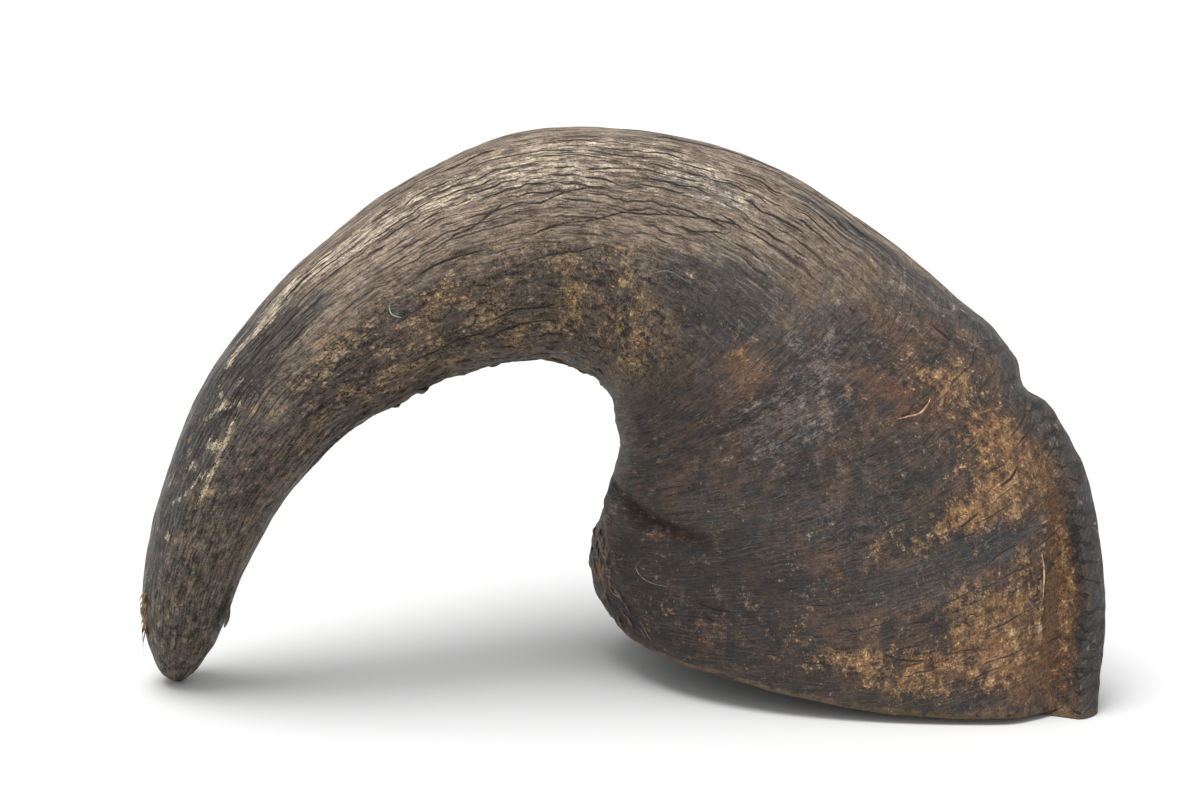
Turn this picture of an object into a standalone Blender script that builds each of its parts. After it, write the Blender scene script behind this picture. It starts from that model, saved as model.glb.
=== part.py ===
"""A hollow horn sheath that stands on its open base and its tip, modelled in metres, +Z up.

The horn is one shell. A ring of vertices is extruded again and again, from the tip over the arch
and down to the rim, turns in across the edge of the rim, and climbs back up inside the hollow.
The front, where the sheath bulges most, faces -Y, and the tip lies at -X.
"""

import math

import bmesh
import bpy
import numpy as np
from mathutils import Vector

# Stations along the horn, from the tip to the rim. Each one gives the point on the outer (convex)
# edge as x, y, z, the point on the inner (concave) edge as x, y, z, and then how far the horn
# stands out to the front and to the back of the plane that joins the two edges.
TIP = (-0.2072, -0.0470, 0.0000)
STATIONS = (
    ((-0.2145, -0.047, 0.0040), (-0.2003, -0.047, 0.0040), 0.0080, 0.0080),
    ((-0.2196, -0.047, 0.0130), (-0.1935, -0.047, 0.0130), 0.0140, 0.0135),
    ((-0.2230, -0.047, 0.0300), (-0.1842, -0.047, 0.0300), 0.0190, 0.0185),
    ((-0.2223, -0.048, 0.0500), (-0.1765, -0.048, 0.0500), 0.0225, 0.0220),
    ((-0.2182, -0.048, 0.0740), (-0.1664, -0.048, 0.0720), 0.0252, 0.0247),
    ((-0.2082, -0.047, 0.1090), (-0.1464, -0.047, 0.1016), 0.0290, 0.0290),
    ((-0.1890, -0.044, 0.1517), (-0.1215, -0.042, 0.1264), 0.0332, 0.0322),
    ((-0.1604, -0.034, 0.1909), (-0.0951, -0.032, 0.1390), 0.0385, 0.0375),
    ((-0.1209, -0.022, 0.2250), (-0.0717, -0.020, 0.1491), 0.0435, 0.0425),
    ((-0.0753, -0.009, 0.2515), (-0.0430, -0.007, 0.1510), 0.0493, 0.0483),
    ((-0.0260, 0.004, 0.2641), (-0.0202, 0.004, 0.1488), 0.0560, 0.0530),
    ((0.0290, 0.011, 0.2618), (-0.0038, 0.008, 0.1410), 0.0600, 0.0560),
    ((0.0805, 0.008, 0.2468), (0.0055, 0.009, 0.1308), 0.0620, 0.0560),
    ((0.1295, 0.000, 0.2197), (0.0098, 0.009, 0.1170), 0.0630, 0.0550),
    ((0.1680, -0.012, 0.1895), (0.0113, 0.009, 0.1040), 0.0630, 0.0540),
    ((0.1978, -0.026, 0.1646), (0.0090, 0.009, 0.0900), 0.0620, 0.0530),
    ((0.2113, -0.037, 0.1432), (0.0064, 0.009, 0.0780), 0.0610, 0.0530),
    ((0.2263, -0.047, 0.1240), (0.0030, 0.009, 0.0670), 0.0600, 0.0520),
    ((0.2415, -0.066, 0.0640), (-0.0052, 0.009, 0.0400), 0.0600, 0.0510),
    ((0.2379, -0.088, 0.0000), (0.0060, 0.012, 0.0000), 0.0600, 0.0500),
)
LEDGE_STATION = 16  # where the ridge steps out again below a shallow dip
GROOVE_STATIONS = (16, 18)  # where the groove starts and where it has its full depth

# The section of the sheath.
COLUMNS = 48
RIDGE_CROWDING = 0.35  # how much closer the columns stand on the outer edge than on the inner one
TAPER = 0.38  # how much thinner the base gets towards the outer edge
BASE_STARTS = 0.45  # share of the length at which the taper begins
BASE_FULL = 0.85  # share of the length at which it has all its strength
LEVEL_FROM = 0.8  # share of the length from which the depth of the rings turns level
HALF_TANGENT = 0.002  # half the distance over which the direction along the horn is taken

# The groove that sets the ridge off from the front face, near the rim.
GROOVE_ANGLE = math.radians(-30)
GROOVE_SPREAD = math.radians(8)
GROOVE_DEPTH = 0.011

# How far the rim stands above the ground, at angles round it from the ridge by way of the back.
RIM_ANGLES = np.radians((0, 118, 145, 165, 180, 205, 230, 250, 270, 283, 305, 320, 331, 338, 360))
RIM_LIFTS = (0, 0, 0.010, 0.025, 0.0315, 0.0275, 0.020, 0.015, 0.0095, 0.005, 0.003, 0.003, 0.002, 0, 0)
LIFT_HEIGHT = 0.090  # height at which the lift of the rim has died out

# The dip in the outer edge above the ledge.
DIP_DEPTH = 0.003
DIP_LENGTH = 0.030
DIP_SPREAD = math.radians(24)

# The rows of vertices and the hollow.
ROW_STEP = 0.0135
LEDGE_GAP = 0.002
WALL = 0.005
RIDGE_WALL = 0.024
CAVITY_TOP = 7  # station at which the hollow ends
WALL_GAIN = 0.010  # how much thicker the wall is at the top of the hollow
WALL_CURVE = 1.5  # power with which the wall thickens: above 1 most of the gain is near the top
DOME_SHARE = 0.3  # share of the hollow's length taken by its rounded end
CAVITY_ROWS = 20
START_RADIUS = 0.01  # of the circle whose vertices are put on the first ring
MERGE_DISTANCE = 0.0001

HORN_COLOUR = (0.110, 0.082, 0.062, 1.0)


def station_lengths():
    """Distance from the first station to each one, averaged over the two edges."""
    edges = np.array([outer + inner for outer, inner, front, back in STATIONS])
    steps = np.diff(edges, axis=0)
    outer_steps = np.linalg.norm(steps[:, :3], axis=1)
    inner_steps = np.linalg.norm(steps[:, 3:], axis=1)
    return np.concatenate(([0.0], np.cumsum((outer_steps + inner_steps) / 2)))


LENGTHS = station_lengths()
ROWS = np.array([outer + inner + (front, back) for outer, inner, front, back in STATIONS])
SLOPES = np.gradient(ROWS, LENGTHS, axis=0)


def shape_at(length):
    """The station values at a distance along the horn, on a smooth curve through the stations."""
    first = int(np.clip(np.searchsorted(LENGTHS, length) - 1, 0, len(LENGTHS) - 2))
    span = LENGTHS[first + 1] - LENGTHS[first]
    part = (length - LENGTHS[first]) / span
    return (
        (1 + 2 * part) * (1 - part) ** 2 * ROWS[first]
        + part * (1 - part) ** 2 * span * SLOPES[first]
        + part**2 * (3 - 2 * part) * ROWS[first + 1]
        + part**2 * (part - 1) * span * SLOPES[first + 1]
    )


def column_angles():
    """Angles round a ring, from the outer edge by way of the back, closer together at that edge."""
    turn = np.arange(COLUMNS) * math.tau / COLUMNS
    return turn - RIDGE_CROWDING * np.sin(turn)


def middle_at(length):
    shape = shape_at(length)
    return (shape[0:3] + shape[3:6]) / 2


def ring_at(length, inset=0.0, ridge_inset=0.0, shrink=1.0):
    """One ring of points. An inset makes it a ring of the hollow, and shrink scales such a ring."""
    shape = shape_at(length)
    outer, inner, front, back = shape[0:3], shape[3:6], shape[6], shape[7]
    nearby = min(length + HALF_TANGENT, LENGTHS[-1])
    along = middle_at(nearby) - middle_at(nearby - 2 * HALF_TANGENT)
    across = (outer - inner) / 2
    half = np.linalg.norm(across)
    across /= half
    forwards = np.cross(along, across)
    share = length / LENGTHS[-1]
    forwards[2] *= 1 - np.clip((share - LEVEL_FROM) / (1 - LEVEL_FROM), 0, 1) ** 2
    forwards /= np.linalg.norm(forwards)
    base_share = np.clip((share - BASE_STARTS) / (BASE_FULL - BASE_STARTS), 0, 1)
    groove_start, groove_full = (LENGTHS[i] for i in GROOVE_STATIONS)
    groove = GROOVE_DEPTH * np.clip((length - groove_start) / (groove_full - groove_start), 0, 1)
    before_ledge = (LENGTHS[LEDGE_STATION] - length) / DIP_LENGTH
    dip = DIP_DEPTH * (1 - before_ledge) ** 2 if 0 < before_ledge < 1 else 0.0
    if inset > 0:
        groove = dip = 0.0
    middle = (outer + inner) / 2 - across * (ridge_inset - inset) / 2
    reach = (half - (ridge_inset + inset) / 2) * shrink
    points = []
    for angle in column_angles():
        side = math.sin(angle)
        depth = (back if side > 0 else front) - inset
        depth *= side * (1 - TAPER * base_share * math.cos(angle)) * shrink
        turned = math.remainder(angle - GROOVE_ANGLE, math.tau) / GROOVE_SPREAD
        depth += groove * math.exp(-(turned**2))
        from_ridge = math.remainder(angle, math.tau) / DIP_SPREAD
        out = reach * math.cos(angle) - dip * math.exp(-(from_ridge**2))
        point = middle + across * out - forwards * depth
        lift = np.interp(angle % math.tau, RIM_ANGLES, RIM_LIFTS) if base_share > 0 else 0.0
        point[2] += lift * max(0.0, 1 - point[2] / LIFT_HEIGHT) ** 2
        points.append(point)
    return points


def extruded(mesh, ring, points):
    """Extrude a ring of vertices and put the new ring on the given points."""
    edges = [edge for edge in mesh.edges if edge.is_boundary]
    made = bmesh.ops.extrude_edge_only(mesh, edges=edges)["geom"]
    new = {item for item in made if isinstance(item, bmesh.types.BMVert)}
    following = []
    for vert, point in zip(ring, points):
        ahead = next(edge.other_vert(vert) for edge in vert.link_edges if edge.other_vert(vert) in new)
        ahead.co = point
        following.append(ahead)
    return following


def outside_lengths():
    """Distances of the outer rings: even steps, with a ring on each side of the ledge."""
    ledge = LENGTHS[LEDGE_STATION]
    stops = [0.0, ledge - LEDGE_GAP, ledge, LENGTHS[-1]]
    rows = [0.0]
    for start, end in zip(stops, stops[1:]):
        count = max(1, round((end - start) / ROW_STEP))
        rows += [start + (end - start) * (i + 1) / count for i in range(count)]
    return rows


def inside_rings():
    """Rings of the hollow, from the rim up to its rounded end."""
    top = LENGTHS[CAVITY_TOP]
    for row in range(CAVITY_ROWS):
        part = row / CAVITY_ROWS
        length = LENGTHS[-1] + (top - LENGTHS[-1]) * part
        dome = max(0.0, part - 1 + DOME_SHARE) / DOME_SHARE
        wall = WALL + WALL_GAIN * part**WALL_CURVE
        ridge_wall = max(wall, RIDGE_WALL * (1 - part))
        yield ring_at(length, wall, ridge_wall, math.sqrt(1 - dome**2))


def make_horn():
    mesh = bmesh.new()
    first = bmesh.ops.create_circle(
        mesh, cap_ends=True, cap_tris=True, segments=COLUMNS, radius=START_RADIUS
    )
    ring = [vert for vert in first["verts"] if vert.is_boundary]
    tip = next(vert for vert in first["verts"] if not vert.is_boundary)
    tip.co = TIP
    rows = outside_lengths()
    for vert, point in zip(ring, ring_at(rows[0])):
        vert.co = point
    for length in rows[1:]:
        ring = extruded(mesh, ring, ring_at(length))
    for points in inside_rings():
        ring = extruded(mesh, ring, points)
    ring = extruded(mesh, ring, [middle_at(LENGTHS[CAVITY_TOP])] * COLUMNS)
    bmesh.ops.remove_doubles(mesh, verts=ring, dist=MERGE_DISTANCE)
    bmesh.ops.recalc_face_normals(mesh, faces=mesh.faces)
    return mesh


def stand_on_origin(mesh):
    """Move the horn so that the middle of its box's underside is the origin."""
    points = np.array([vert.co for vert in mesh.verts])
    low, high = points.min(axis=0), points.max(axis=0)
    middle = (low + high) / 2
    bmesh.ops.translate(mesh, verts=mesh.verts, vec=Vector((-middle[0], -middle[1], -low[2])))


def horn_material():
    material = bpy.data.materials.new("weathered_horn")
    material.use_nodes = True
    shader = material.node_tree.nodes["Principled BSDF"]
    shader.inputs["Base Color"].default_value = HORN_COLOUR
    shader.inputs["Roughness"].default_value = 0.6
    shader.inputs["Metallic"].default_value = 0.0
    return material


def main():
    for old in list(bpy.data.objects):
        bpy.data.objects.remove(old, do_unlink=True)
    mesh = make_horn()
    stand_on_origin(mesh)
    data = bpy.data.meshes.new("horn_sheath")
    mesh.to_mesh(data)
    mesh.free()
    data.materials.append(horn_material())
    data.shade_smooth()
    horn = bpy.data.objects.new("horn_sheath", data)
    bpy.context.scene.collection.objects.link(horn)


main()
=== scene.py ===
# %% [markdown]
# # A weathered horn sheath
# This scene dresses one hollow horn of a wild ox. The frame that it is built on fixes its size and
# its place: +Z is up, the tip stands at -X, the broad open base at +X, and lengths are in metres.
# We keep the frame's box before anything is added, so that our own sheath can be kept inside it.

import math

import bmesh
import bpy
import numpy as np
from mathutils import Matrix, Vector, noise


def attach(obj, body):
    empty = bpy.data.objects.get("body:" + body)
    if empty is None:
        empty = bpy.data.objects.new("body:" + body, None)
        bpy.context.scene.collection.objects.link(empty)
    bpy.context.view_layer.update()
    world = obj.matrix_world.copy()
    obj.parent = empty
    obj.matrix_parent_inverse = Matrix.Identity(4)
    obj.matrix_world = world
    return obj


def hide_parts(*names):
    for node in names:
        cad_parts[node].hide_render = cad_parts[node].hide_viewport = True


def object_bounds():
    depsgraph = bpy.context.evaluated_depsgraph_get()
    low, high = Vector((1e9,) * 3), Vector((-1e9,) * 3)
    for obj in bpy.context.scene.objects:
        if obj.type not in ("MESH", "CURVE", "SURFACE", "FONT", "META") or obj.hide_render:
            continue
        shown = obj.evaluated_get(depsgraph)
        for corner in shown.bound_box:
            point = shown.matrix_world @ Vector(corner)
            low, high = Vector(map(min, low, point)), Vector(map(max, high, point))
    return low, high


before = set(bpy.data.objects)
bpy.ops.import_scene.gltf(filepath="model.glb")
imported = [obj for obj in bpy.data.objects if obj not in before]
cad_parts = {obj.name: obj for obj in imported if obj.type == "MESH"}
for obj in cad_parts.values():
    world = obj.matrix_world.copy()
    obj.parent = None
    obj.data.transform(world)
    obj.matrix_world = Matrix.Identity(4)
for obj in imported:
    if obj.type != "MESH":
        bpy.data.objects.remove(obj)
frame_low, frame_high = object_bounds()
print("frame box", [round(side, 4) for side in frame_high - frame_low])

# %% [markdown]
# ## Reading the rings back
# The frame's horn is built of rings with 48 corners each, from the tip over the arch to the rim and
# then up again inside the hollow. We want those rings back in order, because smooth curves through
# them give a surface as fine as we like. Starting at the tip, each ring is the set of corners that
# touch the last one, and walking round it along its own edges puts its corners in order.

# %% Walking round a ring
CORNERS = 48
SAME_CORNER = 0.00001  # the frame's corners that are nearer than this are one
TIP_RADIUS = 0.009  # of the circle that the first ring is lined up with
guide = bmesh.new()
guide.from_mesh(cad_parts["horn_sheath"].data)
bmesh.ops.remove_doubles(guide, verts=guide.verts, dist=SAME_CORNER)
poles = [vert for vert in guide.verts if len(vert.link_edges) == CORNERS]
poles.sort(key=lambda vert: vert.co.x)


def touching(vert):
    return [edge.other_vert(vert) for edge in vert.link_edges]


def walked(ring):
    """The corners of a ring, one after the other."""
    path = [next(iter(ring))]
    while len(path) < CORNERS:
        path.append(next(vert for vert in touching(path[-1]) if vert in ring and vert not in path[-2:]))
    return np.array([vert.co for vert in path])


def lined_up(loop, before):
    """The loop turned, and reversed if need be, so that its corners follow those of the ring before."""
    ways = [np.roll(way, turn, axis=0) for way in (loop, loop[::-1]) for turn in range(CORNERS)]
    return min(ways, key=lambda way: np.square(way - before).sum())


print(len(poles), "poles, one at the tip and one at the end of the hollow")

# %% All the rings
tip, hollow_end = np.array(poles[0].co), np.array(poles[-1].co)
turns = np.arange(CORNERS) * math.tau / CORNERS
rings = [tip + TIP_RADIUS * np.stack((-np.cos(turns), np.sin(turns), 0 * turns), axis=1)]
met, following = {poles[0]}, set(touching(poles[0]))
while len(following) == CORNERS:
    rings.append(lined_up(walked(following), rings[-1]))
    met |= following
    following = {vert for old in following for vert in touching(old)} - met
guide.free()
rings[0] = np.tile(tip, (CORNERS, 1))
rings.append(np.tile(hollow_end, (CORNERS, 1)))
rings = np.array(rings)
print(len(rings), "rings, the two ends among them")

# %% [markdown]
# ## Smooth curves through the rings
# A Hermite curve passes through every ring with an even slope. We draw such curves along the horn
# first and then round it. The outside and the hollow get curves of their own, with flat strips in
# between for the cut face of the rim, so the edges of the rim stay crisp. The tip gets a level
# start, which makes it a blunt dome as on an old animal that has rubbed it round.

# %% A smooth curve
RIM = 48  # number of the ring at the outer edge of the rim; the tip is ring 0
ROUND = 320
OUTSIDE_ROWS = 250
RIM_ROWS = 5
INSIDE_ROWS = 36
BLUNTNESS = 1.35
OVERLAP = 4  # columns that are repeated on each side, so that the curves close smoothly


def through(points, knots, at, start_slope=None):
    """Points on the smooth curves through the given ones."""
    slopes = np.gradient(points, knots, axis=0)
    if start_slope is not None:
        slopes[0] = start_slope
    first = np.clip(np.searchsorted(knots, at, side="right") - 1, 0, len(knots) - 2)
    span = np.diff(knots)[first]
    part = ((at - knots[first]) / span)[:, None, None]
    span = span[:, None, None]
    keep = (1 + 2 * part) * (1 - part) ** 2
    return (
        keep * points[first]
        + (1 - keep) * points[first + 1]
        + part * (1 - part) ** 2 * span * slopes[first]
        - part**2 * (1 - part) * span * slopes[first + 1]
    )


steps = np.linalg.norm(np.diff(rings, axis=0), axis=2).mean(axis=1)
print("mean step from ring to ring", round(steps[:RIM].mean() * 1000, 1), "mm")

# %% The fine surface
outside_knots = np.concatenate(([0.0], np.cumsum(steps[:RIM])))
inside_knots = np.concatenate(([0.0], np.cumsum(steps[RIM + 1 :])))
outside_at = np.linspace(0, outside_knots[-1], OUTSIDE_ROWS + 1)
inside_at = np.linspace(0, inside_knots[-1], INSIDE_ROWS + 1)
across_rim = np.arange(1, RIM_ROWS) / RIM_ROWS
level_start = (rings[1] - tip) * (1, 1, 0) * BLUNTNESS / outside_knots[1]
outside = through(rings[: RIM + 1], outside_knots, outside_at, level_start)
rim_face = rings[RIM] + across_rim[:, None, None] * (rings[RIM + 1] - rings[RIM])
inside = through(rings[RIM + 1 :], inside_knots, inside_at)
rows = np.concatenate((outside, rim_face, inside))
wrapped = np.concatenate((rows[:, -OVERLAP:], rows, rows[:, : OVERLAP + 1]), axis=1).swapaxes(0, 1)
wrapped_at = np.arange(-OVERLAP, CORNERS + OVERLAP + 1.0)
columns_at = np.arange(ROUND) * CORNERS / ROUND
surface = through(wrapped, wrapped_at, columns_at).swapaxes(0, 1)
print("surface of", surface.shape[0], "rows by", ROUND, "columns")

# %% [markdown]
# ## Where things are on a horn
# Horn grows as a tube, so its cracks, stains and growth lines follow the tube and not the room.
# Every point gets a ring number (0 tip, 48 rim) and a column number (0 the outer edge, 12 the back,
# 24 the inner edge, 36 the front), and a place on the horn as if it were pulled straight.
# On the base the growth lines droop across the broad face, which `growth` follows.

# %% Places on the horn
TINY = 1e-6  # keeps the girth of a pole above nothing
ring_row = np.concatenate(
    (
        np.interp(outside_at, outside_knots, np.arange(RIM + 1)),
        RIM + across_rim,
        RIM + 1 + np.interp(inside_at, inside_knots, np.arange(len(inside_knots))),
    )
)
length_row = np.concatenate(
    (outside_at, np.full(RIM_ROWS - 1, outside_at[-1]), outside_at[-1] - inside_at)
)
ring_of = ring_row[:, None] + np.zeros(ROUND)
column_of = columns_at + np.zeros((len(ring_row), 1))
length_of = length_row[:, None] + np.zeros(ROUND)
round_steps = np.linalg.norm(np.roll(surface, -1, axis=1) - surface, axis=2)
girth = np.maximum(round_steps.sum(axis=1, keepdims=True), TINY)
round_angle = math.tau * (np.cumsum(round_steps, axis=1) - round_steps) / girth
radius_of = girth / math.tau
straight = np.stack(
    (radius_of * np.cos(round_angle), radius_of * np.sin(round_angle), length_of), axis=2
)
print("girth at the rim", round(float(girth[OUTSIDE_ROWS, 0]), 3))


# %% Base, rim and hollow
CROWDING = 0.35  # how much the columns crowd towards the inner edge
DROOP_RINGS = (28, 31, 38, 48)
DROOP_LENGTHS = (0, 0.033, 0.060, 0.060)


def smooth_step(value, low, high):
    """0 below low, 1 above high, and a soft slope between them."""
    part = np.clip((value - low) / (high - low), 0, 1)
    return part * part * (3 - 2 * part)


column_turn = column_of * math.tau / CORNERS
from_inner = np.abs(column_turn - CROWDING * np.sin(column_turn) - math.pi) / math.pi
droop = np.interp(ring_of, DROOP_RINGS, DROOP_LENGTHS)
growth = length_of - droop * np.sin(math.pi * from_inner**0.6)
base_share = smooth_step(ring_of - 6 * from_inner, 26, 31)
outer_share = smooth_step(-ring_of, -RIM - 0.01, -RIM + 0.2)
inside_share = smooth_step(ring_of, RIM + 0.9, RIM + 1.1)
print("length over the curve", round(outside_at[-1], 3))

# %% [markdown]
# ## Tools for marks
# Four small functions place everything that follows. `patch` is a soft spot at a ring and column,
# `stroke` is a line drawn from place to place over the surface, `hump` is the rise along such a
# line, and `bumps` is a field of noise. A stroke gives the distance to its line with a sign for the
# side, because a signed distance can be read between the corners of the mesh as a much finer line
# than the mesh could hold.

# %% Patches, humps and bumps
NOISE_GAIN = 1.6  # brings the noise to between about -1 and 1


def bumps(places, scale):
    """Smooth noise between about -1 and 1; the scale says how many bumps fit in a metre."""
    flat = (places * np.array(scale)).reshape(-1, 3).tolist()
    return NOISE_GAIN * np.array([noise.noise(place) for place in flat]).reshape(places.shape[:-1])


def patch(ring, column, rings_wide, columns_wide):
    """1 at a place on the horn, fading out round it."""
    aside = (column_of - column + CORNERS / 2) % CORNERS - CORNERS / 2
    return np.exp(-(((ring_of - ring) / rings_wide) ** 2) - (aside / columns_wide) ** 2)


def hump(gap, width):
    """1 on a line, fading out over about the width on both sides of it."""
    return np.exp(-((gap / width) ** 2))


print("a test spot covers", int((patch(20, 36, 2, 2) > 0.5).sum()), "points")


# %% Directions out of the surface
SHORTEST = 1e-12  # keeps the length of a direction above nothing


def outward_of(points):
    """Directions out of a surface whose columns close on themselves."""
    along = np.gradient(points, axis=0)
    across = np.roll(points, -1, axis=1) - np.roll(points, 1, axis=1)
    out = np.cross(across, along)
    return out / np.maximum(np.linalg.norm(out, axis=2, keepdims=True), SHORTEST)


outward = outward_of(surface)
middle_row = OUTSIDE_ROWS // 2
from_axis = surface[middle_row] - surface[middle_row].mean(axis=0)
if (outward[middle_row] * from_axis).sum() < 0:
    outward = -outward
print("directions for", outward.shape[0] * outward.shape[1], "points")


# %% Strokes
FADES_OVER = 0.22  # share of a stroke's length over which each of its ends fades
NARROW = 0.006  # how far to its sides a narrow stroke is followed
FAR = 1.0  # further than any point of the horn


def place_at(ring, column, skin=surface):
    """The point of the surface at a ring and column, and the direction out of it."""
    row = int(np.argmin(np.abs(ring_row - ring)))
    side = int(round(column * ROUND / CORNERS)) % ROUND
    return skin[row, side], outward[row, side]


def stroke(path, reach):
    """Signed distance from a line over the surface, and 1 near the line, fading to 0 at its ends."""
    nearest = np.full(ring_of.shape, FAR)
    signed = np.full(ring_of.shape, FAR)
    travel = np.zeros(ring_of.shape)
    for number, (start, end) in enumerate(zip(path, path[1:])):
        begin, out = place_at(*start)
        run = place_at(*end)[0] - begin
        offset = surface - begin
        part = np.clip(offset @ run / (run @ run), 0, 1)
        gap = offset - part[..., None] * run
        distance = np.linalg.norm(gap, axis=2)
        sign = np.where(gap @ np.cross(run, out) < 0, -1, 1)
        closer = distance < nearest
        signed = np.where(closer, sign * distance, signed)
        travel = np.where(closer, (number + part) / (len(path) - 1), travel)
        nearest = np.where(closer, distance, nearest)
    ends = smooth_step(travel, 0, FADES_OVER) * smooth_step(-travel, -1, FADES_OVER - 1)
    return signed, smooth_step(-nearest, -reach, -reach / 2) * outer_share * ends


test_near = stroke(((20, 34), (24, 36), (28, 36)), NARROW)[1]
print("a test stroke covers", int((test_near > 0.5).sum()), "points")

# %% [markdown]
# ## Shape of the weathered surface
# The sheath is never smooth. It has broad dents, ribs that run along the shaft, growth steps round
# the base, flaking layers on the inside of the curve, a deep fold beside the base's left end, and
# a ridge with short cross cracks. Each is a height above or below the smooth surface, and the sum
# moves the points in or out. These are shapes that can be felt, so they are modelled.

# %% Dents and grain
DENTS, WAVES = 0.0008, 0.0003  # these and the heights below are in metres
FIBRES, FINE_FIBRES = 0.00040, 0.00022
STEPS, FINE_STEPS = 0.00032, 0.00018
shaft_share = 1 - base_share
grain = bumps(straight, (130, 130, 9))
fine_grain = bumps(straight + 0.3, (300, 300, 22))
growth_place = np.stack((straight[..., 0] * 9, straight[..., 1] * 9, growth * 150), axis=2)
growth_steps = bumps(growth_place, 1)
fine_growth = bumps(growth_place * (2, 2, 2.3) + 5, 1)
height = DENTS * bumps(straight, 28) + WAVES * bumps(straight, 90)
height += shaft_share * (FIBRES * grain + FINE_FIBRES * fine_grain)
height += base_share * (STEPS * growth_steps + FINE_STEPS * fine_growth)
print("dents and grain up to", round(height.max() * 1000, 2), "mm")

# %% Crumbs, layers and furrows
FINE_CRUMBS, CRUMBS = 0.00045, 0.0004
LAYERS, LAYER_STEP, LAYER_SINK = 3, 0.0017, 0.0004
FURROWS = 0.00055
low_front = hump(column_of - 32.2, 3.7) * smooth_step(ring_of, 10, 17)
low_back = hump(column_of - 16.5, 3.6) * smooth_step(ring_of, 12, 18)
crumbly = (low_front + low_back) * smooth_step(-ring_of, -34, -29)
height += FINE_CRUMBS * crumbly * bumps(straight, 260) + CRUMBS * crumbly * bumps(straight, 120)
inner_curve = np.clip(patch(21, 25, 8.5, 4.2) + 0.6 * patch(14, 25.5, 4, 3), 0, 1)
layers = LAYERS * (bumps(straight, (70, 70, 16)) + 0.35 * fine_grain)
terraces = (np.floor(layers) + 0.5 * smooth_step(layers % 1, 0.8, 1.0)) / LAYERS
height += inner_curve * (LAYER_STEP * terraces - LAYER_SINK)

deep_grain = np.abs(bumps(straight + 0.7, (95, 95, 7)))
upper_side = smooth_step(np.abs(column_of - 24), 9, 15) * smooth_step(ring_of, 8, 13)
furrows = smooth_step(-deep_grain, -0.12, 0) * upper_side * shaft_share
height -= FURROWS * furrows
print("layers from", round(height.min() * 1000, 2), "to", round(height.max() * 1000, 2), "mm")

# %% [markdown]
# ## Fold, lips and long cracks
# These places are drawn as strokes, because noise would not put them where the real horn has them.
# The fold is a groove with a low swelling on both sides. The lip at the base's left end and the
# lifted flake near the ridge are low humps along their strokes, and each long crack is a shallow
# groove. The cracks go into the material too, as dark lines. A row is the ring and column of each
# point on the way.

# %% Where the fold, the lips and the cracks run
FOLD = ((36.2, 25.2), (37.4, 26.1), (39.5, 27.8), (40.5, 28.7), (41.3, 29.7), (41.8, 30.6), (42.3, 32.0))
END_LIP = ((38.6, 25.4), (39.8, 26.3), (41.6, 27.2), (43.2, 27.9), (44.8, 28.5), (46.2, 29.2))
CHIP_EDGE = ((41.6, 25.6), (42.3, 26.2), (43.2, 27.1), (44.9, 27.8), (45.9, 28.0))
RIDGE_FLAKE = ((41.2, 41.7), (42.6, 41.2), (43.6, 40.9), (45.0, 40.7), (46.6, 40.9))
CRACKS = (
    ((22.0, 35.8), (23.0, 36.1), (24.4, 36.6), (26.2, 37.3), (28.2, 38.1), (29.5, 38.7), (30.2, 39.0)),
    ((22.0, 38.8), (23.4, 38.2), (23.8, 38.5), (25.2, 39.1), (26.3, 39.2)),
    ((19.9, 37.1), (20.5, 37.7), (21.2, 37.7), (21.9, 38.3), (22.4, 38.8)),
    ((18.4, 35.6), (19.4, 35.8), (20.3, 35.9), (21.5, 35.7)),
    ((19.8, 29.4), (20.5, 30.1), (21.5, 30.5), (22.5, 30.5), (23.4, 30.5)),
    ((20.4, 31.1), (21.4, 31.5), (22.6, 31.5), (23.1, 31.8)),
    ((21.3, 34.2), (22.9, 34.5), (24.3, 34.8), (25.5, 35.2)),
    ((28.2, 37.2), (29.3, 37.8), (29.8, 37.9)),
    ((24.7, 40.6), (26.1, 40.9), (27.0, 41.3)),
    ((16.6, 30.2), (17.8, 29.8), (19.0, 30.2), (20.0, 30.3)),
    ((22.0, 10.5), (23.6, 11.2), (25.4, 11.0), (27.2, 11.8)),
    ((17.0, 14.0), (18.6, 14.6), (20.2, 14.2)),
    ((24.0, 15.5), (25.6, 15.9), (27.0, 15.4)),
    ((33.5, 38.6), (34.0, 38.5)),
    ((35.2, 41.7), (36.1, 41.6)),
    ((44.55, 30.5), (44.75, 31.0), (44.65, 31.6)),
    ((45.1, 30.7), (45.25, 31.2)),
    ((46.0, 35.3), (46.15, 35.9), (46.1, 36.8)),
    ((41.3, 39.4), (41.0, 40.2), (40.7, 41.0)),
    ((42.1, 37.6), (41.8, 38.6)),
)
print(len(CRACKS), "long cracks")

# %% Fold and lips
FOLD_DEPTH, FOLD_WIDTH = 0.0042, 0.0034
SWELLING, SWELLING_OFF, SWELLING_WIDTH = 0.0012, 0.009, 0.006
LIP, LIP_WIDTH = 0.0016, 0.0032
CHIP_DEPTH, CHIP_GRIT = 0.0022, 0.0006
LIFT, LIFT_WIDTH, LIFT_WOBBLE = 0.0011, 0.0016, 0.0008
fold_gap, fold_near = stroke(FOLD, 0.020)
fold_near = fold_near * smooth_step(ring_of, 35.9, 38.5) * smooth_step(-column_of, -32.2, -28.3)
height -= FOLD_DEPTH * hump(fold_gap, FOLD_WIDTH) * fold_near
height += SWELLING * hump(np.abs(fold_gap) - SWELLING_OFF, SWELLING_WIDTH) * fold_near
lip_gap, lip_near = stroke(END_LIP, 0.016)
height += LIP * hump(lip_gap, LIP_WIDTH) * lip_near
chip_gap, chip_near = stroke(CHIP_EDGE, 0.016)
chip = smooth_step(-column_of, -27.9, -26.6) * patch(43.9, 26.2, 2.3, 2.2)
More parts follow.
